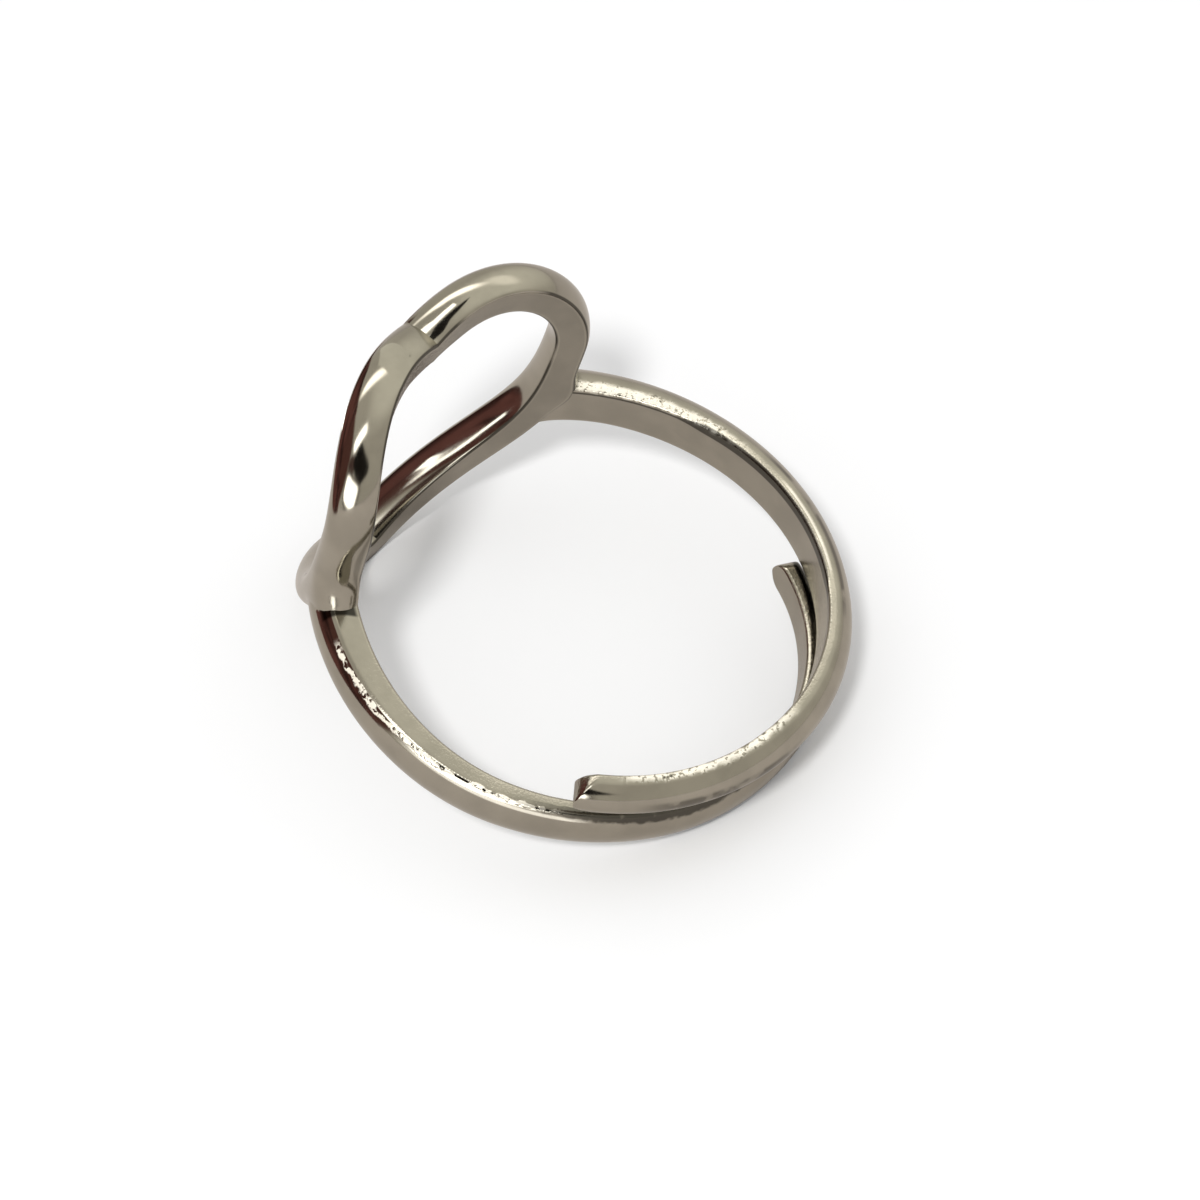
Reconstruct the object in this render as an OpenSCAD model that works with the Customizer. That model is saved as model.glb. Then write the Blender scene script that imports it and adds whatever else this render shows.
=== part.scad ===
// Open heart ring, adjustable, one casting in polished metal.
// It lies on its side as it rests on a table: on the heart's tip in front
// and on the lower edge of the band at the back.
// Lengths are in millimetres and angles in degrees.

/* [Finger hole] */

// Inside diameter of the band
inner_diameter = 17; // [15:0.1:21]

/* [Heart frame] */

// Distance along the arc from the heart's middle to the centre of a lobe
lobe_offset = 2.64; // [2:0.01:4]
// Height of the lobe centres above the ring's middle plane
lobe_height = 2.52; // [1:0.01:5]
// Half width of a lobe, on the frame's centre line
lobe_half_width = 3.86; // [2.9:0.01:5]
// Half height of a lobe, on the frame's centre line
lobe_half_height = 3.78; // [2.5:0.01:5]
// Depth of the heart's tip below the middle plane, on the centre line
tip_depth = 7.3; // [5:0.01:9]
// Slope of the two lower sides at the tip, from the upright
tip_slope = 52.1; // [30:0.1:65]
// Radius of the rounded tip, on the centre line
tip_radius = 1.01; // [0.4:0.01:2]
// Slope of the frame at each side of the notch
notch_slope = 18.2; // [5:0.1:45]
// Share of the bar's width that is left in the notch
notch_waist = 0.81; // [0.4:0.01:1]
// Distance from the notch over which the bar narrows
notch_reach = 1.11; // [0.5:0.01:3]
// How far the sides run on downwards before they turn in
side_fullness = 4.44; // [2:0.01:8]
// How far the lower sides run on straight before they reach the tip
tip_fullness = 6.39; // [2:0.01:8]
// Width of the frame's bar
frame_width = 1.38; // [0.9:0.01:2]
// Thickness of the frame's bar, from the finger outwards
frame_thickness = 1.61; // [1:0.01:2.2]
// Roundness of the bar's outside, where 2 is an ellipse and more is squarer
frame_squareness = 2.2; // [2:0.01:5]
// Share of the bar's width that is flat, on the side of the finger
frame_flat = 0.82; // [0.5:0.01:0.98]

/* [Arms] */

// Height of the arms at the heart, relative to the middle plane
shoulder_height = -0.89; // [-3:0.01:1]
// Width of an arm at the heart
shoulder_width = 1.94; // [1.4:0.01:3]
// Thickness of an arm at the heart
shoulder_thickness = 1.51; // [0.8:0.01:2]
// Extra width of the fillet below an arm, where it grows out of the heart
shoulder_fillet = 0.23; // [0:0.01:0.8]
// How far the frame swells out above the lower arm, where the two meet
lower_swell = 0.95; // [0:0.01:1.2]
// How far the frame swells out above the upper arm
upper_swell = 0.42; // [0:0.01:1.2]
// Width of an arm halfway along
band_width = 1.9; // [1.4:0.01:3]
// Thickness of the upper arm halfway along
upper_thickness = 1.07; // [0.6:0.01:1.6]
// Thickness of the lower arm halfway along
lower_thickness = 0.81; // [0.6:0.01:1.6]
// Share of the upper arm's thickness that its flat edges take, below the domed outside
upper_wall = 0.3; // [0.15:0.01:0.9]
// Share of the lower arm's thickness that its flat edges take
lower_wall = 0.65; // [0.15:0.01:0.9]
// Slope at which the domed outside leaves the flat edges, where 0 is upright
dome_start = 24; // [0:1:60]
// Softening of the arms' inner edges
inner_edge = 0.1; // [0.02:0.01:0.15]

/* [Upper arm] */

// Angle from the heart's middle to the end of the upper arm
upper_reach = 236.5; // [200:0.5:260]
// How far the upper arm climbs on its way round
upper_rise = 1.86; // [0:0.01:3]
// Share of the arm's length over which it climbs
upper_rise_share = 0.77; // [0.3:0.01:1]
// How far the upper arm opens outwards by its end
upper_outward = 0.3; // [0:0.01:1]
// Width of the upper arm before its rounded end
upper_tip_width = 1.61; // [1:0.01:3]
// Thickness of the upper arm at its end
upper_tip_thickness = 1; // [0.5:0.01:1.6]

/* [Lower arm] */

// Angle from the heart's middle to the end of the lower arm
lower_reach = 239; // [200:0.5:260]
// How far the lower arm drops on its way round
lower_drop = 0.71; // [0:0.01:2]
// Share of the arm's length over which it drops
lower_drop_share = 0.33; // [0.1:0.01:1]
// How far the end of the lower arm bends inwards
lower_bend = 0.69; // [0:0.01:2.5]
// Share of the arm's length where the bend begins
lower_bend_start = 0.74; // [0.5:0.01:0.95]
// Width of the lower arm before its rounded end
lower_tip_width = 1.32; // [1:0.01:3]
// Thickness of the lower arm at its end
lower_tip_thickness = 0.95; // [0.5:0.01:1.6]

/* [Resting pose] */

// Lean of the ring's axis towards the back
lean = 17.17; // [0:0.01:30]
// Turn of the resting ring towards its right side
roll = -1.82; // [-5:0.01:5]
// Sideways place of the ring's centre
centre_x = 0.027; // [-3:0.001:3]
// Place of the ring's centre towards the back
centre_y = 1.131; // [-3:0.001:3]
// Height of the ring's centre above the table
centre_z = 5.013; // [0:0.001:15]

/* [Hidden] */

radius = inner_diameter / 2;
degrees_per_mm = 180 / (PI * radius);
shoulder_angle = (lobe_offset + lobe_half_width) * degrees_per_mm;
front = 270;

// Angle on the lobe where its centre line turns into the straight run to the notch
notch_angle = 90 + atan(tan(notch_slope) * lobe_half_width / lobe_half_height);
// Angle of the tip's arc at which the straight side begins
tip_arc = 90 - tip_slope;

// Stations along each piece, and points on the rounded side of a section
notch_steps = 10;
lobe_steps = 28;
side_steps = 26;
tip_steps = 9;
arm_steps = 92;
section_points = 15;

function clamp01(x) = min(1, max(0, x));
function ease(x) = clamp01(x) * clamp01(x) * (3 - 2 * clamp01(x));
function mix(a, b, x) = a + (b - a) * x;
function signed_power(x, p) = sign(x) * pow(abs(x), p);

// Section of a bar: [across, outward], flat towards the finger and rounded outside.
// The rounded side bulges past the flat one, and the share flat says how wide the flat side is.
function bar_section(width, thickness, squareness, flat) =
    let (start = acos(pow(flat, squareness / 2)),
         below = pow(sin(start), 2 / squareness),
         bulge = thickness / (1 + below))
    [for (i = [0 : section_points - 1])
        let (a = mix(-start, 180 + start, i / (section_points - 1)))
        [width / 2 * signed_power(cos(a), 2 / squareness),
         max(0, thickness - bulge + bulge * signed_power(sin(a), 2 / squareness))]];

// Height of an arm's domed outside at a distance from its middle line
function dome_height(x, half, thickness, wall) =
    let (rise = sqrt(max(0, 1 - pow(x * cos(dome_start) / half, 2))))
    thickness * mix(wall, 1, (rise - sin(dome_start)) / (1 - sin(dome_start)));

// Section of an arm: flat towards the finger, with flat edges and a domed outside.
// The share of the width that is left gets smaller at the rounded end, and the dome stays the same.
function band_section(width, thickness, wall, left) =
    let (half = width / 2 * left,
         edge = min(inner_edge, half / 2, thickness * wall / 2),
         dome = [for (i = [0 : section_points - 5])
             half * cos(mix(dome_start, 180 - dome_start, i / (section_points - 5))) / cos(dome_start)])
    concat([[half - edge, 0], [half, edge]],
        [for (x = dome) [x, dome_height(x, width / 2, thickness, wall)]],
        [[-half, edge], [edge - half, 0]]);

// Point on the ring: angle round the finger, distance from the axis and height
function on_ring(angle, r, z) = [r * cos(angle), r * sin(angle), z];

// Half of the heart's centre line, from past the notch, over the lobe and down to past the tip
function lobe_point(a) = [lobe_offset + lobe_half_width * cos(a), lobe_height + lobe_half_height * sin(a)];
function tip_point(t) = [tip_radius * sin(t), tip_radius * (1 - cos(t)) - tip_depth];
side_a = lobe_point(0);
side_b = [side_a[0], side_a[1] - side_fullness];
side_d = tip_point(tip_arc);
side_c = side_d + tip_fullness * [sin(tip_slope), cos(tip_slope)];
function side_point(u) = pow(1 - u, 3) * side_a + 3 * pow(1 - u, 2) * u * side_b
    + 3 * (1 - u) * u * u * side_c + pow(u, 3) * side_d;
notch_run = lobe_point(notch_angle);
half_heart = concat(
    [for (i = [0 : notch_steps - 1])
        let (x = mix(-0.8, notch_run[0], i / notch_steps))
        [x, notch_run[1] - (notch_run[0] - x) * tan(notch_slope)]],
    [for (i = [0 : lobe_steps]) lobe_point(notch_angle * (1 - i / lobe_steps))],
    [for (i = [1 : side_steps]) side_point(i / side_steps)],
    [for (i = [1 : tip_steps]) tip_point(mix(tip_arc, -26, i / tip_steps))]);

function heading(path, i) =
    let (a = path[max(i - 1, 0)], b = path[min(i + 1, len(path) - 1)]) (b - a) / norm(b - a);
// Share of the bar's width at a distance along the arc from the notch
function waist(x, z) = z < 0 ? 1 : 1 - (1 - notch_waist) * pow(clamp01(1 - abs(x) / notch_reach), 1.5);
// Share of the swell at a height: most just under the arm's upper edge
function swell_share(z) = exp(-pow((z - shoulder_height - 0.66) / 0.6, 2) / 2);
function frame_station(path, i, swell) =
    let (h = heading(path, i), w = waist(path[i][0], path[i][1]),
         outer = 1 + (path[i][0] > lobe_offset ? 2 * swell * swell_share(path[i][1]) / frame_width : 0),
         shape = bar_section(frame_width * w, frame_thickness, frame_squareness, frame_flat))
    [for (q = shape)
        let (across = q[0] > 0 ? q[0] * outer : q[0])
        on_ring(front + (path[i][0] - h[1] * across) * degrees_per_mm, radius + q[1],
            path[i][1] + h[0] * across)];

// Faces of a bar made of stations with the same number of points, capped at both ends
function bar_faces(n, m) = concat(
    [for (i = [0 : n - 2], j = [0 : m - 1]) [i * m + j, i * m + (j + 1) % m, (i + 1) * m + j]],
    [for (i = [0 : n - 2], j = [0 : m - 1]) [i * m + (j + 1) % m, (i + 1) * m + (j + 1) % m, (i + 1) * m + j]],
    [for (j = [1 : m - 2]) [0, j + 1, j]],
    [for (j = [1 : m - 2]) [(n - 1) * m, (n - 1) * m + j, (n - 1) * m + j + 1]]);

module bar(stations, flip) {
    m = len(stations[0]);
    faces = bar_faces(len(stations), m);
    turned = [for (f = faces) [f[0], f[2], f[1]]];
    polyhedron(points = [for (s = stations, q = s) q], faces = flip ? turned : faces);
}

module heart_half(swell) {
    intersection() {
        bar([for (i = [0 : len(half_heart) - 1]) frame_station(half_heart, i, swell)], true);
        translate([-0.01, -15, -15]) cube([15, 15, 30]);
    }
}

module heart() {
    heart_half(lower_swell);
    mirror([1, 0, 0]) heart_half(upper_swell);
}

// One station of an arm: u runs from 0 at the heart's side to 1 at the end, and a little below 0 inside the heart,
// where the fillet runs down along the frame's edge
function arm_station(u, side, reach, z, r, tip_width, mid_thickness, tip_thickness, wall) =
    let (length = (reach - shoulder_angle) / degrees_per_mm,
         width = u < 0.5 ? mix(shoulder_width, band_width, ease(2 * u)) : mix(band_width, tip_width, ease(2 * u - 1)),
         along = u * length,
         thickness = u < 0.5 ? mix(shoulder_thickness, mid_thickness, ease(2 * u)) * (1 + 0.3 * min(0, along))
             : mix(mid_thickness, tip_thickness, ease(2 * u - 1)),
         round_share = 0.45 * tip_width / length,
         rounding = sqrt(max(0.015, 1 - pow(clamp01((u - 1 + round_share) / round_share), 2))),
         fillet = shoulder_fillet * (pow(clamp01(1 - along / 2.4), 1.6) + 1.1 * exp(-(along + 0.35) / 0.2)),
         angle = front + side * mix(shoulder_angle, reach, u),
         shape = band_section(width, thickness * mix(0.9, 1, rounding), wall, rounding))
    [for (q = shape) on_ring(angle, r + q[1], z + q[0] + (q[0] < 0 ? 2 * fillet * q[0] / width : 0))];

// Shares of the arm's length at which its stations lie, closer together at the rounded end
function arm_share(i) = i < 0 ? 0.003 * i : i < arm_steps * 0.85 ? 0.96 * i / (arm_steps * 0.85)
    : mix(0.96, 1, sin(90 * (i - arm_steps * 0.85) / (arm_steps * 0.15)));

module upper_arm() {
    bar([for (i = [-4 : arm_steps])
        let (u = arm_share(i),
             z = shoulder_height + upper_rise * ease(u / upper_rise_share),
             r = radius + upper_outward * ease((u - 0.4) / 0.6))
        arm_station(u, -1, upper_reach, z, r, upper_tip_width, upper_thickness, upper_tip_thickness,
            upper_wall)], false);
}

module lower_arm() {
    bar([for (i = [-4 : arm_steps])
        let (u = arm_share(i),
             z = shoulder_height - lower_drop * ease(u / lower_drop_share),
             r = radius - lower_bend * pow(clamp01((u - lower_bend_start) / (1 - lower_bend_start)), 2))
        arm_station(u, 1, lower_reach, z, r, lower_tip_width, lower_thickness, lower_tip_thickness,
            lower_wall)], true);
}

module ring() {
    color([0.66, 0.64, 0.58])
    translate([centre_x, centre_y, centre_z])
    rotate([-lean, roll, 0])
    union() {
        heart();
        upper_arm();
        lower_arm();
    }
}

ring();
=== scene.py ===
import math

import bmesh
import bpy
from mathutils import Matrix, Vector


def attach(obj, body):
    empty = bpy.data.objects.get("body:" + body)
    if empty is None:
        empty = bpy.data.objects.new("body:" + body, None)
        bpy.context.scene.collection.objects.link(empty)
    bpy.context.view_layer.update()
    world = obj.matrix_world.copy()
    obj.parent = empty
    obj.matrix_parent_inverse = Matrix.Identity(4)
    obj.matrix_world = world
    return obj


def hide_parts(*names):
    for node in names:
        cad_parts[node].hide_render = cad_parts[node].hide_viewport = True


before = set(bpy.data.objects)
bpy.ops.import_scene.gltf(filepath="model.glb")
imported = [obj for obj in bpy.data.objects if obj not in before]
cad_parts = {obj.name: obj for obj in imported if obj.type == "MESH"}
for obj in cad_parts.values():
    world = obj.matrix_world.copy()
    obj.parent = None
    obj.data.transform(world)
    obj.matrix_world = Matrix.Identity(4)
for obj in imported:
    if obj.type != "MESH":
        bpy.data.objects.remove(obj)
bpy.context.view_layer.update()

# The ring's measures in millimetres and degrees, as in the part's source
INNER_DIAMETER = 17
LOBE_OFFSET = 2.64
LOBE_HEIGHT = 2.52
LOBE_HALF_WIDTH = 3.86
LOBE_HALF_HEIGHT = 3.78
TIP_DEPTH = 7.3
TIP_SLOPE = math.radians(52.1)
TIP_RADIUS = 1.01
NOTCH_SLOPE = math.radians(18.2)
NOTCH_WAIST = 0.81
NOTCH_REACH = 1.11
SIDE_FULLNESS = 4.44
TIP_FULLNESS = 6.39
FRAME_WIDTH = 1.38
FRAME_THICKNESS = 1.61
FRAME_SQUARENESS = 2.2
SHOULDER_HEIGHT = -0.89
SHOULDER_WIDTH = 1.94
SHOULDER_THICKNESS = 1.51
SHOULDER_FILLET = 0.23
BAND_WIDTH = 1.9
DOME_START = math.radians(24)
SWELL_SPREAD = 0.6
SWELL_HEIGHT = 0.66
LOWER_SWELL = 0.95
UPPER_SWELL = 0.42
FRAME_FLAT = 0.82
INNER_ROUNDING = 0.17
OUTER_ROUNDING = 0.13
FRAME_ROUNDING = 0.07
# An edge's rounding takes at most these shares of a thin section's half width and edge height
WIDTH_SHARE = 0.45
HEIGHT_SHARE = 0.4
UPPER = {"reach": 236.5, "rise": 1.86, "share": 0.77, "outward": 0.3, "tip_width": 1.61,
         "thickness": 1.07, "tip_thickness": 1, "wall": 0.3}
LOWER = {"reach": 239, "drop": 0.71, "share": 0.33, "bend": 0.69, "bend_start": 0.74,
         "tip_width": 1.32, "thickness": 0.81, "tip_thickness": 0.95, "wall": 0.65}
LEAN = math.radians(17.17)
ROLL = math.radians(-1.82)
CENTRE = Vector((0.027, 1.131, 5.013))

RADIUS = INNER_DIAMETER / 2
SHOULDER_ANGLE = (LOBE_OFFSET + LOBE_HALF_WIDTH) / RADIUS
FRONT = 1.5 * math.pi
MM = 0.001

# How finely the forms are cut
SECTION_STEPS = 40
DOME_STEPS = 14
CORNER_STEPS = 6
NOTCH_STEPS = 16
LOBE_STEPS = 64
SIDE_STEPS = 60
TIP_STEPS = 20
ARM_STEPS = 180

# How far each half of the heart's line runs past the middle, before it is cut there
NOTCH_OVERRUN = 0.8
TIP_OVERRUN = math.radians(26)

# The arms start a few stations inside the heart, and their stations come closer together near the tip
ROOT_STATIONS = 6
ROOT_STEP = 0.002
ROOT_TAPER = 0.3
BODY_STATIONS = 0.85
BODY_LENGTH = 0.96
TIP_ROUNDING = 0.45
TIP_THINNING = 0.9
SMALLEST_TIP = 0.004
# The fillet below an arm fades along it, and flares where the arm meets the heart
FILLET_LENGTH = 2.4
FLARE = 1.1
FLARE_START = -0.35
FLARE_LENGTH = 0.2
# The arm's inside starts a hair further out than the frame's, so the two faces never coincide
INSIDE_STEP = 0.015
INSIDE_STEP_LENGTH = 2.0
# First lengths in the arms' UV maps, so that the metal can tell frame and arms apart
LOWER_UV_START = 100.0
UPPER_UV_START = 200.0
SHARP_ANGLE = math.radians(38)

# From the upright ring to the resting ring, still in millimetres
REST = Matrix.Translation(CENTRE) @ Matrix.Rotation(ROLL, 4, "Y") @ Matrix.Rotation(-LEAN, 4, "X")


def clamp01(x):
    return min(1.0, max(0.0, x))


def ease(x):
    x = clamp01(x)
    return x * x * (3 - 2 * x)


def mix(a, b, x):
    return a + (b - a) * x


def on_ring(angle, r, z):
    return Vector((r * math.cos(angle), r * math.sin(angle), z))


def corner_curve(first, corner, last, steps=CORNER_STEPS):
    """Points of a rounded corner, as (across, outward, place)."""
    first, corner, last = Vector(first), Vector(corner), Vector(last)
    points = []
    for k in range(steps + 1):
        t = k / steps
        points.append(((1 - t) ** 2 * first + 2 * t * (1 - t) * corner + t * t * last)[:])
    return points


def whole_section(half):
    """Closed section from its upper half, which runs from the inside's middle to the outside's."""
    return half + [(-x, y, -place) for x, y, place in reversed(half[1:-1])]


def bar_section(width, thickness, squareness, flat):
    """Section of a bar as (across, outward, place): flat towards the finger, rounded outside.

    The place is 0 in the middle of the flat side, 1 at its edge, and then grows by millimetres
    round the outside. It is below 0 on the lower half.
    """
    start = math.acos(flat ** (squareness / 2))
    bulge = thickness / (1 + math.sin(start) ** (2 / squareness))
    edge = width / 2 * flat
    outside = []
    for k in range(SECTION_STEPS + 1):
        a = mix(-start, math.pi / 2, k / SECTION_STEPS)
        across = abs(math.cos(a)) ** (2 / squareness)
        outward = math.copysign(abs(math.sin(a)) ** (2 / squareness), math.sin(a))
        here = (width / 2 * across, max(0.0, thickness - bulge + bulge * outward))
        step = math.hypot(here[0] - outside[-1][0], here[1] - outside[-1][1]) if outside else 0.0
        outside.append((*here, outside[-1][2] + step if outside else 1.0))
    beyond = [q for q in outside if q[2] > 1 + FRAME_ROUNDING]
    corner = corner_curve((edge - FRAME_ROUNDING, 0, 0.95), (edge, 0, 1), beyond[0], 4)
    return whole_section([(0, 0, 0), (edge / 2, 0, 0.5)] + corner + beyond[1:])


def dome_height(x, half, thickness, wall):
    rise = math.sqrt(max(0.0, 1 - (x * math.cos(DOME_START) / half) ** 2))
    low = math.sin(DOME_START)
    return thickness * mix(wall, 1, (rise - low) / (1 - low))


def band_section(width, thickness, wall, left):
    """Section of an arm as (across, outward, place): flat inside, flat edges and a domed outside.

    The place is 0 to 1 on the flat inside, 1 to 2 on the edges and 2 to 3 on the dome.
    It is below 0 on the lower half.
    """
    full = width / 2
    half = full * left
    top = dome_height(half, full, thickness, wall)
    inner = min(INNER_ROUNDING, WIDTH_SHARE * half, HEIGHT_SHARE * top)
    outer = min(OUTER_ROUNDING, WIDTH_SHARE * half, HEIGHT_SHARE * top)
    step = 0.01 * full
    slope = (dome_height(half - step, full, thickness, wall) - top) / step
    start = half - outer / math.hypot(1, slope)
    points = [(0, 0, 0), ((half - inner) / 2, 0, 0.45)]
    points += corner_curve((half - inner, 0, 0.9), (half, 0, 1), (half, inner, 1.1))
    points.append((half, (inner + top - outer) / 2, 1.5))
    dome = [(start, dome_height(start, full, thickness, wall), 2.1)]
    for k in range(1, DOME_STEPS + 1):
        x = start * math.cos(math.pi / 2 * k / DOME_STEPS)
        dome.append((x, dome_height(x, full, thickness, wall), mix(3, 2.1, x / start)))
    points += corner_curve((half, top - outer, 1.9), (half, top, 2), dome[0])
    points += dome[1:]
    return whole_section(points)


def bar_faces(stations, points, capped):
    faces = []
    for i in range(stations - 1):
        for j in range(points):
            k = (j + 1) % points
            faces.append((i * points + j, i * points + k, (i + 1) * points + k, (i + 1) * points + j))
    if capped:
        faces.append(tuple(reversed(range(points))))
        faces.append(tuple(range((stations - 1) * points, stations * points)))
    return faces


def mesh_of_bar(stations, sections, lengths, capped=True):
    """Bar through the stations, with flat ends if it is capped.

    Its UV map holds the length along the bar and the place round the section.
    """
    bm = bmesh.new()
    uv = bm.loops.layers.uv.new("bar")
    verts = [bm.verts.new(p) for s in stations for p in s]
    places = [(length, q[2]) for length, section in zip(lengths, sections) for q in section]
    for f in bar_faces(len(stations), len(stations[0]), capped):
        face = bm.faces.new([verts[i] for i in f])
        marks = [places[i] for i in f]
        if max(m[1] for m in marks) - min(m[1] for m in marks) > 3:
            marks = [(m[0], abs(m[1])) for m in marks]
        for loop, mark in zip(face.loops, marks):
            loop[uv].uv = mark
    return bm


# The heart's centre line, as (distance along the arc, height)
def lobe_point(a):
    return Vector((LOBE_OFFSET + LOBE_HALF_WIDTH * math.cos(a),
                   LOBE_HEIGHT + LOBE_HALF_HEIGHT * math.sin(a)))


def tip_point(t):
    return Vector((TIP_RADIUS * math.sin(t), TIP_RADIUS * (1 - math.cos(t)) - TIP_DEPTH))


def heart_line():
    """Points of the right half, from past the notch round the lobe and down to past the tip."""
    notch_angle = math.pi / 2 + math.atan(math.tan(NOTCH_SLOPE) * LOBE_HALF_WIDTH / LOBE_HALF_HEIGHT)
    tip_arc = math.pi / 2 - TIP_SLOPE
    run = lobe_point(notch_angle)
    points = []
    for i in range(NOTCH_STEPS):
        x = mix(-NOTCH_OVERRUN, run.x, i / NOTCH_STEPS)
        points.append(Vector((x, run.y - (run.x - x) * math.tan(NOTCH_SLOPE))))
    points += [lobe_point(notch_angle * (1 - i / LOBE_STEPS)) for i in range(LOBE_STEPS + 1)]
    a = lobe_point(0)
    b = a - Vector((0, SIDE_FULLNESS))
    d = tip_point(tip_arc)
    c = d + TIP_FULLNESS * Vector((math.sin(TIP_SLOPE), math.cos(TIP_SLOPE)))
    for i in range(1, SIDE_STEPS + 1):
        u = i / SIDE_STEPS
        points.append((1 - u) ** 3 * a + 3 * (1 - u) ** 2 * u * b + 3 * (1 - u) * u * u * c + u ** 3 * d)
    points += [tip_point(mix(tip_arc, -TIP_OVERRUN, i / TIP_STEPS)) for i in range(1, TIP_STEPS + 1)]
    return points


def half_heart(swell, side):
    """One half of the heart's frame, cut at the middle. It swells out above its arm."""
    line = heart_line()
    stations, sections, lengths = [], [], []
    for i, p in enumerate(line):
        h = (line[min(i + 1, len(line) - 1)] - line[max(i - 1, 0)]).normalized()
        waist = 1.0
        if p.y > 0:
            waist -= (1 - NOTCH_WAIST) * clamp01(1 - abs(p.x) / NOTCH_REACH) ** 1.5
        shape = bar_section(FRAME_WIDTH * waist, FRAME_THICKNESS, FRAME_SQUARENESS, FRAME_FLAT)
        sections.append(shape)
        lengths.append(lengths[-1] + (p - line[i - 1]).length if i else 0.0)
        outer = 1.0
        if p.x > LOBE_OFFSET:
            height = (p.y - SHOULDER_HEIGHT - SWELL_HEIGHT) / SWELL_SPREAD
            outer += 2 * swell * math.exp(-height ** 2 / 2) / FRAME_WIDTH
        station = []
        for across, outward, _ in shape:
            if across > 0:
                across *= outer
            angle = FRONT + (p.x - h.y * across) / RADIUS
            station.append(on_ring(angle, RADIUS + outward, p.y + h.x * across))
        stations.append(station)
    bm = mesh_of_bar(stations, sections, lengths, capped=False)
    everything = bm.verts[:] + bm.edges[:] + bm.faces[:]
    bmesh.ops.bisect_plane(bm, geom=everything, dist=1e-6, plane_co=(0, 0, 0), plane_no=(1, 0, 0),
                           clear_inner=True)
    if side < 0:
        for v in bm.verts:
            v.co.x = -v.co.x
        bmesh.ops.reverse_faces(bm, faces=bm.faces[:])
    return bm


def heart_mesh():
    """The whole frame, joined from its two halves."""
    bm = half_heart(LOWER_SWELL, 1)
    other = half_heart(UPPER_SWELL, -1)
    spare = bpy.data.meshes.new("spare")
    other.to_mesh(spare)
    other.free()
    bm.from_mesh(spare)
    bpy.data.meshes.remove(spare)
    bmesh.ops.remove_doubles(bm, verts=bm.verts[:], dist=1e-4)
    return bm


def arm_progress(i):
    """Share of an arm's length at one of its stations."""
    body = round(ARM_STEPS * BODY_STATIONS)
    if i < 0:
        return ROOT_STEP * i
    if i < body:
        return BODY_LENGTH * i / body
    return mix(BODY_LENGTH, 1, math.sin(math.pi / 2 * (i - body) / (ARM_STEPS - body)))


def arm_mesh(arm, side):
    """An arm as a closed bar. The side is -1 for the upper arm and 1 for the lower one."""
    length = (math.radians(arm["reach"]) - SHOULDER_ANGLE) * RADIUS
    stations, sections, lengths = [], [], []
    for i in range(-ROOT_STATIONS, ARM_STEPS + 1):
        u = arm_progress(i)
        along = u * length
        if u < 0.5:
            width = mix(SHOULDER_WIDTH, BAND_WIDTH, ease(2 * u))
            thickness = mix(SHOULDER_THICKNESS, arm["thickness"], ease(2 * u))
            thickness *= 1 + ROOT_TAPER * min(0.0, along)
        else:
            width = mix(BAND_WIDTH, arm["tip_width"], ease(2 * u - 1))
            thickness = mix(arm["thickness"], arm["tip_thickness"], ease(2 * u - 1))
        share = TIP_ROUNDING * arm["tip_width"] / length
        rounding = math.sqrt(max(SMALLEST_TIP, 1 - clamp01((u - 1 + share) / share) ** 2))
        fade = clamp01(1 - along / FILLET_LENGTH) ** 1.6
        flare = FLARE * math.exp(-(along - FLARE_START) / FLARE_LENGTH)
        fillet = SHOULDER_FILLET * (fade + flare)
        angle = FRONT + side * mix(SHOULDER_ANGLE, math.radians(arm["reach"]), u)
        if side < 0:
            z = SHOULDER_HEIGHT + arm["rise"] * ease(u / arm["share"])
            r = RADIUS + arm["outward"] * ease((u - 0.4) / 0.6)
        else:
            z = SHOULDER_HEIGHT - arm["drop"] * ease(u / arm["share"])
            r = RADIUS - arm["bend"] * clamp01((u - arm["bend_start"]) / (1 - arm["bend_start"])) ** 2
        r += INSIDE_STEP * clamp01(1 - along / INSIDE_STEP_LENGTH)
        thickness *= mix(TIP_THINNING, 1, rounding)
        shape = band_section(width, thickness, arm["wall"], rounding)
        sections.append(shape)
        lengths.append((UPPER_UV_START if side < 0 else LOWER_UV_START) + along)
        station = []
        for across, outward, _ in shape:
            below = 2 * fillet * across / width if across < 0 else 0
            station.append(on_ring(angle, r + outward, z + across + below))
        stations.append(station)
    return mesh_of_bar(stations, sections, lengths)


def as_object(bm, name):
    mesh = bpy.data.meshes.new(name)
    bm.to_mesh(mesh)
    bm.free()
    obj = bpy.data.objects.new(name, mesh)
    bpy.context.scene.collection.objects.link(obj)
    return obj


def as_solid(bm, name):
    """Object from a closed mesh, with its faces turned outward."""
    if bm.calc_volume(signed=True) < 0:
        bmesh.ops.reverse_faces(bm, faces=bm.faces[:])
    return as_object(bm, name)


def build_ring():
    """One closed surface: the heart's frame with both arms grown out of it."""
    heart = as_solid(heart_mesh(), "heart_part")
    arms = [as_solid(arm_mesh(UPPER, -1), "upper_part"), as_solid(arm_mesh(LOWER, 1), "lower_part")]
    for arm in arms:
        join = heart.modifiers.new("join", "BOOLEAN")
        join.operation = "UNION"
        join.solver = "EXACT"
        join.object = arm
    depsgraph = bpy.context.evaluated_depsgraph_get()
    mesh = bpy.data.meshes.new_from_object(heart.evaluated_get(depsgraph))
    for obj in [heart] + arms:
        bpy.data.objects.remove(obj)
    mesh.name = "heart_ring"
    mesh.transform(Matrix.Scale(MM, 4) @ REST)
    mesh.update()
    ring = bpy.data.objects.new("heart_ring", mesh)
    bpy.context.scene.collection.objects.link(ring)
    mesh.shade_smooth()
    mesh.set_sharp_from_angle(angle=SHARP_ANGLE)
    return ring


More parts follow.
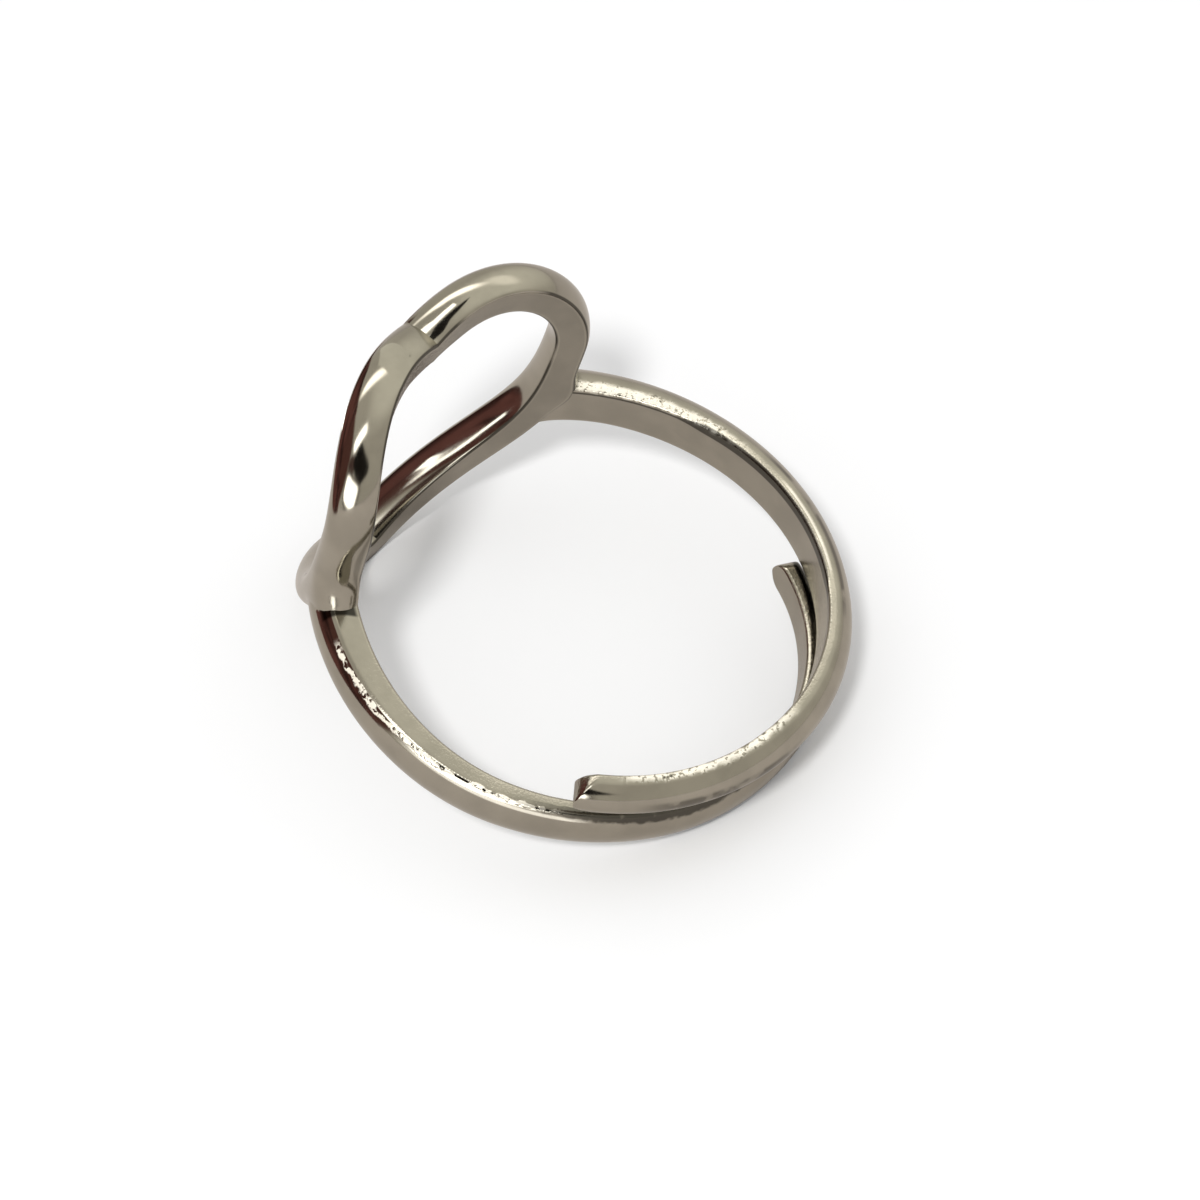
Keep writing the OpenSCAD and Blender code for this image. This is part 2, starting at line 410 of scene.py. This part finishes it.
# Camera, at the photograph's angle to the ring
CAMERA_DISTANCE = 166.52
CAMERA_PITCH = math.radians(54.98)
CAMERA_SPIN = math.radians(21.87)
CAMERA_TURN = math.radians(270 - 160.29)
PIXELS_PER_MM = 27.92
FOCAL_PIXELS = PIXELS_PER_MM * CAMERA_DISTANCE
FRAME_PIXELS = 1200
SENSOR = 36.0
# Where the camera's axis meets the frame, in its pixels from the top left
AXIS_X, AXIS_Y = 588.06, 586.47


def camera_axes():
    """Right, up and back of the camera in the resting ring's frame, as unit vectors."""
    turn = Matrix.Rotation(CAMERA_TURN, 3, "Z")
    rest = REST.to_3x3()
    across = Vector((1, 0, 0))
    upward = Vector((0, math.sin(CAMERA_PITCH), math.cos(CAMERA_PITCH)))
    back = Vector((0, -math.cos(CAMERA_PITCH), math.sin(CAMERA_PITCH)))
    c, s = math.cos(CAMERA_SPIN), math.sin(CAMERA_SPIN)
    return [rest @ turn @ axis for axis in (c * across + s * upward, c * upward - s * across, back)]


def add_camera(right, up, back):
    data = bpy.data.cameras.new("camera")
    data.sensor_width = SENSOR
    data.lens = FOCAL_PIXELS / FRAME_PIXELS * SENSOR
    data.shift_x = (FRAME_PIXELS / 2 - AXIS_X) / FRAME_PIXELS
    data.shift_y = (AXIS_Y - FRAME_PIXELS / 2) / FRAME_PIXELS
    data.clip_start = 0.005
    data.clip_end = 50
    cam = bpy.data.objects.new("camera", data)
    place = MM * (CENTRE + CAMERA_DISTANCE * back)
    cam.matrix_world = Matrix.Translation(place) @ Matrix((right, up, back)).transposed().to_4x4()
    bpy.context.scene.collection.objects.link(cam)
    bpy.context.scene.camera = cam


class Tree:
    """A node tree with short ways to add nodes. A value is a constant or another node's output."""

    def __init__(self, owner):
        owner.use_nodes = True
        self.nodes = owner.node_tree.nodes
        self.links = owner.node_tree.links

    def feed(self, socket, value):
        if isinstance(value, bpy.types.NodeSocket):
            self.links.new(value, socket)
        else:
            socket.default_value = value

    def output(self, kind, name):
        return self.nodes.new(kind).outputs[name]

    def calculate(self, operation, *values):
        made = self.nodes.new("ShaderNodeMath")
        made.operation = operation
        for socket, value in zip(made.inputs, values):
            self.feed(socket, value)
        return made.outputs[0]

    def chain(self, operation, values):
        made = values[0]
        for value in values[1:]:
            made = self.calculate(operation, made, value)
        return made

    def times(self, *values):
        return self.chain("MULTIPLY", values)

    def largest(self, *values):
        return self.chain("MAXIMUM", values)

    def less(self, share, mask):
        """Factor that is 1 outside a mask and lower by a share inside it."""
        return self.calculate("SUBTRACT", 1.0, self.times(mask, share))

    def distance(self, value, middle):
        return self.calculate("ABSOLUTE", self.calculate("SUBTRACT", value, middle))

    def ramp(self, value, low, high, out_low, out_high):
        """Smooth change from one number to another while the value goes from low to high."""
        made = self.nodes.new("ShaderNodeMapRange")
        made.interpolation_type = "SMOOTHSTEP"
        made.inputs["From Min"].default_value = low
        made.inputs["From Max"].default_value = high
        made.inputs["To Min"].default_value = out_low
        made.inputs["To Max"].default_value = out_high
        self.feed(made.inputs["Value"], value)
        return made.outputs["Result"]

    def noise(self, vector, scale, detail, rough):
        made = self.nodes.new("ShaderNodeTexNoise")
        made.inputs["Scale"].default_value = scale
        made.inputs["Detail"].default_value = detail
        made.inputs["Roughness"].default_value = rough
        self.feed(made.inputs["Vector"], vector)
        return made.outputs["Fac"]

    def blend(self, factor, first, second):
        """Colour between two others, which are colours or outputs."""
        made = self.nodes.new("ShaderNodeMix")
        made.data_type = "RGBA"
        self.feed(made.inputs["Factor"], factor)
        self.feed(made.inputs["A"], first)
        self.feed(made.inputs["B"], second)
        return made.outputs["Result"]

    def bump(self, height, size, below):
        """Bumps of a size, given as (strength, depth in metres), on top of those below."""
        made = self.nodes.new("ShaderNodeBump")
        made.inputs["Strength"].default_value, made.inputs["Distance"].default_value = size
        self.feed(made.inputs["Height"], height)
        if below:
            self.feed(made.inputs["Normal"], below)
        return made.outputs["Normal"]


# The metal's colour, how far its painted glints, painted highlight and dark lines and painted shade
# darken or lighten it, and the reach of the painted shade in its creases
STEEL = (0.42, 0.395, 0.335)
PAINTED_DARK_GLINTS = 0.8
PAINTED_GLINT_BRIGHTNESS = 1.38
PAINTED_GLINT_WHITENESS = 0.85
PAINTED_HIGHLIGHT_LINE = 0.8
PAINTED_DARK_LINE = 0.75
SEAM_SHADE = 1.15
SHADE_AND_PATCH_DARKNESS = 0.75
FRAME_INSIDE_SHADE = 0.2
ARM_INSIDE_SHADE = 0.06
CREASE_SHADE_REACH = 0.0006
CREASE_SHADE_SAMPLES = 8

# No length along the bar lies between these, so they part the frame from the arms, and the arms
FRAME_END = (60, 70)
LOWER_END = (180, 190)

# Noise, as features in a metre
WAVE_SCALE = 420
PATCH_SCALE = 1300
RAGGED_SCALE = 2600
SPECK_SCALE = 5200
FINE_SCALE = 11000

FLAT_ROUGHNESS = 0.2
DOME_ROUGHNESS = 0.07
UNEVEN_ROUGHNESS = 0.08

# Bumps, as (strength, depth in metres)
WAVE_BUMP = (0.35, 0.00006)
GRAIN_BUMP = (0.6, 0.00004)
FINE_GRAIN_BUMP = (1.0, 0.000012)
SCRATCH_BUMP = (0.25, 0.000006)
SCRATCH_STRETCH = (0.9, 28.0, 1.0)


def metal():
    """Polished steel, with the grain and waviness that casting, brushing and polishing left on it, and
    with painted glints, painted highlight lines, painted dark lines and painted shade in its colour.

    The ring's UV map says where a mark lies. Its first value is the length along the bar in
    millimetres, from 0 on the frame, 100 on the lower arm and 200 on the upper arm. Its second
    is the place round the section, below 0 on the lower half.
    """
    mat = bpy.data.materials.new("polished_metal")
    tree = Tree(mat)
    shader = tree.nodes["Principled BSDF"]
    coords = tree.output("ShaderNodeTexCoord", "Object")
    bar = tree.nodes.new("ShaderNodeUVMap")
    bar.uv_map = "bar"
    split = tree.nodes.new("ShaderNodeSeparateXYZ")
    tree.feed(split.inputs[0], bar.outputs["UV"])
    along = split.outputs["X"]
    signed = split.outputs["Y"]
    place = tree.calculate("ABSOLUTE", signed)

    def rise(first, last):
        return tree.ramp(along, first, last, 0.0, 1.0)

    def fall(first, last):
        return tree.ramp(along, first, last, 1.0, 0.0)

    def near(value, middle, core, reach):
        return tree.ramp(tree.distance(value, middle), core, reach, 1.0, 0.0)

    def noise(scale, detail=3.0, rough=0.55):
        return tree.noise(coords, scale, detail, rough)

    def clouds(scale, detail, low, high, out_low=0.0, out_high=1.0):
        return tree.ramp(noise(scale, detail), low, high, out_low, out_high)

    on_frame = fall(*FRAME_END)
    on_arm = rise(*FRAME_END)
    on_lower = tree.times(on_arm, fall(*LOWER_END))
    on_upper = rise(*LOWER_END)
    top = tree.ramp(signed, 0.2, 0.4, 0.0, 1.0)

    # Grain along the arms' upper edges, where the casting was only brushed
    specks = noise(SPECK_SCALE, 2.0, 0.6)
    ragged = tree.calculate("ADD", place, clouds(RAGGED_SCALE, 2.0, 0.3, 0.7, -0.05, 0.05))
    crest = tree.ramp(along, 105, 109, 2.19, 2.04)
    patchy = tree.largest(fall(105.3, 106.5), clouds(PATCH_SCALE, 2.0, 0.4, 0.47))
    lower_edge = tree.times(on_lower, near(ragged, crest, 0.04, 0.08), patchy,
                            rise(102.1, 102.5), fall(110, 112.5))
    both_ends = tree.largest(rise(219.5, 221), fall(205.5, 208.5))
    upper_edge = tree.times(on_upper, both_ends, near(ragged, 1.5, 0.4, 0.6), fall(226.6, 227.4))
    speckled = tree.times(top, tree.largest(lower_edge, upper_edge))

    # Painted glints: light and dark specks painted into the grain's colour, and a painted highlight line
    # along each arm
    upper_painted_highlight = tree.times(on_upper, top, near(place, 1.86, 0.06, 0.16), rise(209, 210), fall(213, 214))
    lower_painted_highlight = tree.times(on_lower, top, near(place, 2.26, 0.03, 0.1), rise(105.5, 107), fall(112, 113))
    painted_highlight_lines = tree.times(tree.largest(upper_painted_highlight, lower_painted_highlight), PAINTED_HIGHLIGHT_LINE)
    painted_glints_and_lines = tree.largest(tree.times(speckled, tree.ramp(specks, 0.40, 0.46, 0.0, 1.0)), painted_highlight_lines)
    dark = tree.times(speckled, tree.ramp(specks, 0.28, 0.34, 1.0, 0.0))

    # A broken painted dark line, a painted reflection, next to the upper arm's painted highlight line
    dark_line_beside = tree.times(on_upper, top, near(place, 2.2, 0.02, 0.09), clouds(900, 2.0, 0.35, 0.5),
                        rise(207.5, 209), fall(214, 216))
    # Painted shade in the joint where the lower arm leaves the heart
    uneven = tree.calculate("ADD", along, clouds(800, 0.0, 0.3, 0.7, -0.1, 0.1))
    seam_shade = tree.times(on_lower, top, tree.ramp(uneven, 101.42, 101.55, 1.0, 0.0),
                      near(place, 1.75, 0.55, 0.75))
    # Painted shade on the lower arm's top edge, where the upper arm lies over it
    spread = tree.times(tree.ramp(along, 111, 115, 0.0, 0.22), fall(116, 119))
    off_middle = tree.calculate("SUBTRACT", tree.distance(ragged, 1.93), spread)
    overlap_shade = tree.times(on_lower, top, rise(109, 113.5), tree.ramp(off_middle, 0.15, 0.3, 1.0, 0.0),
                         clouds(1500, 2.0, 0.33, 0.45, 0.5, 1.0))
    # A darker mottled patch along the middle of the upper arm's outside, near its end
    dark_patch = tree.times(on_upper, near(place, 2.9, 0.12, 0.3), rise(220, 222), fall(225, 227),
                       clouds(1500, 2.0, 0.35, 0.5, 0.25, 0.75))
    # A painted dark rim, a painted reflection, along the upper arm's inside edge, widest in its middle
    rim_width = tree.times(tree.ramp(along, 204.5, 206, 0.0, 0.16), fall(213.5, 215))
    off_rim = tree.calculate("SUBTRACT", tree.distance(place, 0.87), rim_width)
    painted_dark_rim = tree.times(on_upper, top, tree.ramp(off_rim, 0.02, 0.08, 1.0, 0.0))
    # The painted dark lines and painted shade above, and the darker patch, darken the colour together
    painted_shade_and_patch = tree.largest(tree.times(dark_line_beside, PAINTED_DARK_LINE), tree.times(seam_shade, SEAM_SHADE),
                          overlap_shade, dark_patch, painted_dark_rim)

    # Painted shade in the creases, darker where ambient occlusion finds surfaces close by, and a faint
    # painted dark line along the edge of the frame's flat side
    corners = tree.nodes.new("ShaderNodeAmbientOcclusion")
    corners.samples = CREASE_SHADE_SAMPLES
    corners.inputs["Distance"].default_value = CREASE_SHADE_REACH
    crease_shade = tree.calculate("ADD", corners.outputs["AO"], tree.ramp(specks, 0.3, 0.7, -0.05, 0.05))
    line = tree.times(on_frame, near(place, 1.03, 0.03, 0.09), clouds(330, 1.0, 0.32, 0.45))
    # Painted shade on the flat insides, stronger on the frame's than on the arms'
    inside = tree.ramp(place, 0.8, 0.95, 1.0, 0.0)
    inside_shade = tree.ramp(along, *FRAME_END, FRAME_INSIDE_SHADE, ARM_INSIDE_SHADE)
    # The colour's factor: random tone times the painted shade, painted dark glints, painted dark lines
    # and painted glints
    shade = tree.times(tree.ramp(crease_shade, 0.4, 0.8, 0.1, 1.0), clouds(700, 3.0, 0.3, 0.7, 0.93, 1.07),
                       tree.less(PAINTED_DARK_GLINTS, dark), tree.less(SHADE_AND_PATCH_DARKNESS, painted_shade_and_patch),
                       tree.less(PAINTED_DARK_LINE, line), tree.less(inside_shade, inside),
                       tree.calculate("ADD", 1.0, tree.times(painted_glints_and_lines, PAINTED_GLINT_BRIGHTNESS)))
    tint = tree.nodes.new("ShaderNodeVectorMath")
    tint.operation = "SCALE"
    tint.inputs[0].default_value = STEEL
    tree.feed(tint.inputs["Scale"], shade)
    tree.feed(shader.inputs["Base Color"], tint.outputs[0])
    # The painted glints are also less metallic, so that they show whiter
    tree.feed(shader.inputs["Metallic"], tree.less(PAINTED_GLINT_WHITENESS, painted_glints_and_lines))

    # Slow waviness from hand polishing, grain, and fine scratches along the bar
    fine_grain = tree.times(noise(FINE_SCALE, 2.0, 0.6), on_arm, near(place, 1.5, 0.4, 0.6),
                            rise(102.3, 103.5))
    stretch = tree.nodes.new("ShaderNodeMapping")
    stretch.inputs["Scale"].default_value = SCRATCH_STRETCH
    tree.feed(stretch.inputs["Vector"], bar.outputs["UV"])
    scratch = tree.times(tree.noise(stretch.outputs["Vector"], 2.2, 4.0, 0.7),
                         tree.ramp(place, 0.8, 1.0, 1.0, 0.25))
    normal = None
    for height, size in ((noise(WAVE_SCALE, 1.0, 0.4), WAVE_BUMP),
                         (tree.times(specks, speckled), GRAIN_BUMP),
                         (fine_grain, FINE_GRAIN_BUMP),
                         (scratch, SCRATCH_BUMP)):
        normal = tree.bump(height, size, normal)
    tree.feed(shader.inputs["Normal"], normal)
    rough = tree.calculate("ADD", tree.ramp(place, 0.85, 1.15, FLAT_ROUGHNESS, DOME_ROUGHNESS),
                           tree.times(noise(1500, 3.0), UNEVEN_ROUGHNESS))
    tree.feed(shader.inputs["Roughness"], rough)
    return mat


# The floor's side in metres, and its colours. The metal mirrors a duller floor than the camera sees.
FLOOR_SIZE = 6
FLOOR_HEIGHT = -0.00002
FLOOR_SEEN = (0.95, 0.95, 0.95, 1)
FLOOR_MIRRORED = (0.63, 0.583, 0.545, 1)


def floor_material():
    mat = bpy.data.materials.new("floor")
    tree = Tree(mat)
    shader = tree.nodes["Principled BSDF"]
    mirrored = tree.output("ShaderNodeLightPath", "Is Glossy Ray")
    tree.feed(shader.inputs["Base Color"], tree.blend(mirrored, FLOOR_SEEN, FLOOR_MIRRORED))
    shader.inputs["Roughness"].default_value = 0.9
    shader.inputs["Specular IOR Level"].default_value = 0.0
    return mat


def add_floor():
    bm = bmesh.new()
    bmesh.ops.create_grid(bm, x_segments=1, y_segments=1, size=FLOOR_SIZE / 2)
    floor = as_object(bm, "floor")
    floor.location.z = FLOOR_HEIGHT
    floor.data.materials.append(floor_material())


# The key light, in metres and watts, and how far it stands above and left of the camera
KEY_DISTANCE = 0.5
KEY_SIZE = 0.07
KEY_POWER = 1.05
KEY_UP = 0.13
KEY_LEFT = 0.16


def add_key_light(right, up, back):
    """A small light beside the camera, which the metal doesn't mirror."""
    data = bpy.data.lights.new("key", "AREA")
    data.shape = "DISK"
    data.size = KEY_SIZE
    data.energy = KEY_POWER
    key = bpy.data.objects.new("key", data)
    direction = (back + KEY_UP * up - KEY_LEFT * right).normalized()
    turn = direction.to_track_quat("Z", "Y").to_matrix().to_4x4()
    key.matrix_world = Matrix.Translation(direction * KEY_DISTANCE) @ turn
    bpy.context.scene.collection.objects.link(key)
    key.visible_glossy = False


# Colours of the room that the metal mirrors, and the light that everything else gets from it
ROOM = (0.60, 0.57, 0.505)
PALE = (0.92, 0.9, 0.8)
DARK = (0.05, 0.02, 0.017)
WINE = (0.18, 0.072, 0.062)
BLACK = (0.012, 0.010, 0.008)
WHITE = (4.0, 4.0, 3.9)
PLAIN_LIGHT = (0.76, 0.76, 0.76, 1)

# Patches of the room as (off the camera's axis, turned round it from its right, long, wide, tilt,
# squareness, softness, colour), with their angles in degrees
PATCHES = [
    (75, 60, 45, 30, 0, 2, 0.5, PALE),
    (83, 64, 9, 13, 0, 2, 0.5, (1.5, 1.46, 1.32)),
    (66, 271, 9, 13, 0, 2, 0.4, (1.5, 1.45, 1.3)),
    (67, 171, 37, 33, 0, 2, 0.1, (0.12, 0.05, 0.04)),
    (71, 100, 7, 22, 5, 2, 0.4, (3.4, 3.3, 3.1)),
    (22, 197, 12, 11, 0, 2, 0.15, (0.1, 0.06, 0.05)),
    (10, 292, 20, 12, 20, 5, 0.12, BLACK),
    (18, 117, 6, 15, 0, 5, 0.2, WHITE),
    (37, 245, 18, 27, 0, 4, 0.15, (0.2, 0.17, 0.15)),
    (36, 244, 13, 22, 0, 5, 0.12, WHITE),
]


def add_room(right, up, back):
    """The room that the metal mirrors: soft patches of light and dark on a plain wall."""
    world = bpy.data.worlds.new("studio")
    bpy.context.scene.world = world
    tree = Tree(world)
    tree.nodes.clear()
    coords = tree.output("ShaderNodeTexCoord", "Generated")

    def dot(vector):
        made = tree.nodes.new("ShaderNodeVectorMath")
        made.operation = "DOT_PRODUCT"
        tree.feed(made.inputs[0], coords)
        made.inputs[1].default_value = vector
        return made.outputs["Value"]

    def background(colour):
        made = tree.nodes.new("ShaderNodeBackground")
        tree.feed(made.inputs["Color"], colour)
        return made.outputs[0]

    colour = (*ROOM, 1)
    for off, turn, long, wide, tilt, square, softness, tint in PATCHES:
        off, turn, tilt = math.radians(off), math.radians(turn), math.radians(tilt)
        outward = math.cos(turn) * right + math.sin(turn) * up
        centre = math.sin(off) * outward + math.cos(off) * back
        radial = math.cos(off) * outward - math.sin(off) * back
        sideways = centre.cross(radial)
        first = math.cos(tilt) * radial + math.sin(tilt) * sideways
        second = centre.cross(first)
        # Angles from the patch's centre along its two axes, as shares of its size
        ahead = dot(centre)
        powers = []
        for axis, size in ((first, long), (second, wide)):
            angle = tree.calculate("ARCTAN2", dot(axis), ahead)
            share = tree.calculate("DIVIDE", angle, math.radians(size))
            powers.append(tree.calculate("POWER", tree.calculate("ABSOLUTE", share), square))
        reach = tree.calculate("POWER", tree.calculate("ADD", *powers), 1 / square)
        mask = tree.ramp(reach, 1 - softness, 1 + softness, 1, 0)
        colour = tree.blend(mask, colour, (*tint, 1))
    choose = tree.nodes.new("ShaderNodeMixShader")
    tree.feed(choose.inputs["Fac"], tree.output("ShaderNodeLightPath", "Is Glossy Ray"))
    tree.feed(choose.inputs[1], background(PLAIN_LIGHT))
    tree.feed(choose.inputs[2], background(colour))
    out = tree.nodes.new("ShaderNodeOutputWorld")
    tree.feed(out.inputs["Surface"], choose.outputs[0])


# Cards round the ring, by their corners in millimetres
DARK_CARD = [(x, -34, z) for x, z in (
    (-21, 0), (-12, 10), (-8, 26), (3, 40), (16, 60), (24, 60),
    (28, 40), (22, 30), (30, 26), (50, 22), (90, 20), (90, 0))]
STREAK_CARD = [(x, -11, z) for x, z in (
    (-1.35, 6.3), (-0.95, 6.9), (-0.6, 7.3), (-0.35, 7.6), (0.1, 7.9), (0.7, 8.35), (1.7, 9.3),
    (3.5, 11), (4.2, 10.9), (2.6, 9.3), (1.1, 8.2), (0.7, 7.8), (0.1, 7.1), (-0.4, 6.35))]
UPPER_CARD = [(x, y, 16) for x, y in (
    (-2.8, -5.2), (-1.6, -5.35), (-0.2, -5.45), (0.6, -5.1),
    (0.6, -4.4), (-0.1, -4.1), (-0.9, -4.7), (-2.2, -5.0))]
EDGE_CARD = [(x, y, 16) for x, y in (
    (-1.9, -5.5), (-0.2, -5.6), (0.4, -5.7), (0.3, -6.5), (-0.5, -6.0), (-1.9, -5.8))]
# This one keeps the two cards above the right lobe out of the left lobe
SHIELD_CARD = [(0.75, y, z) for y, z in ((-7.6, 14.45), (-3, 14.45), (-3, 17), (-7.6, 17))]
# The cards' mottling, and the noise over which it changes from one colour to the other
CLOUD_SCALE = 70.0
CLOUD_RANGE = (0.4, 0.6)


def glowing_material(name, first, second):
    """Plain glow, mottled with two colours."""
    mat = bpy.data.materials.new(name)
    tree = Tree(mat)
    tree.nodes.clear()
    clouds = tree.nodes.new("ShaderNodeTexNoise")
    clouds.inputs["Scale"].default_value = CLOUD_SCALE
    tree.feed(clouds.inputs["Vector"], tree.output("ShaderNodeTexCoord", "Object"))
    spread = tree.nodes.new("ShaderNodeMapRange")
    spread.inputs["From Min"].default_value, spread.inputs["From Max"].default_value = CLOUD_RANGE
    tree.feed(spread.inputs["Value"], clouds.outputs["Fac"])
    glow = tree.nodes.new("ShaderNodeEmission")
    tree.feed(glow.inputs["Color"], tree.blend(spread.outputs["Result"], (*first, 1), (*second, 1)))
    out = tree.nodes.new("ShaderNodeOutputMaterial")
    tree.feed(out.inputs["Surface"], glow.outputs[0])
    return mat


def add_card(name, corners, first, second):
    """A card that is seen only in the metal."""
    bm = bmesh.new()
    bm.faces.new([bm.verts.new(MM * Vector(corner)) for corner in corners])
    card = as_object(bm, name)
    card.data.materials.append(glowing_material(name, first, second))
    card.visible_camera = False
    card.visible_diffuse = False
    card.visible_shadow = False
    card.visible_transmission = False


ring = build_ring()
ring.data.materials.clear()
ring.data.materials.append(metal())
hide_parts("ring")
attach(ring, "root")

axes = camera_axes()
add_camera(*axes)
add_floor()
add_card("dark_card", DARK_CARD, DARK, WINE)
add_card("streak_card", STREAK_CARD, WHITE, WHITE)
add_card("upper_card", UPPER_CARD, BLACK, DARK)
add_card("edge_card", EDGE_CARD, WHITE, WHITE)
add_card("shield_card", SHIELD_CARD, PALE, PALE)
add_room(*axes)
add_key_light(*axes)
bpy.context.scene.view_settings.view_transform = "Standard"
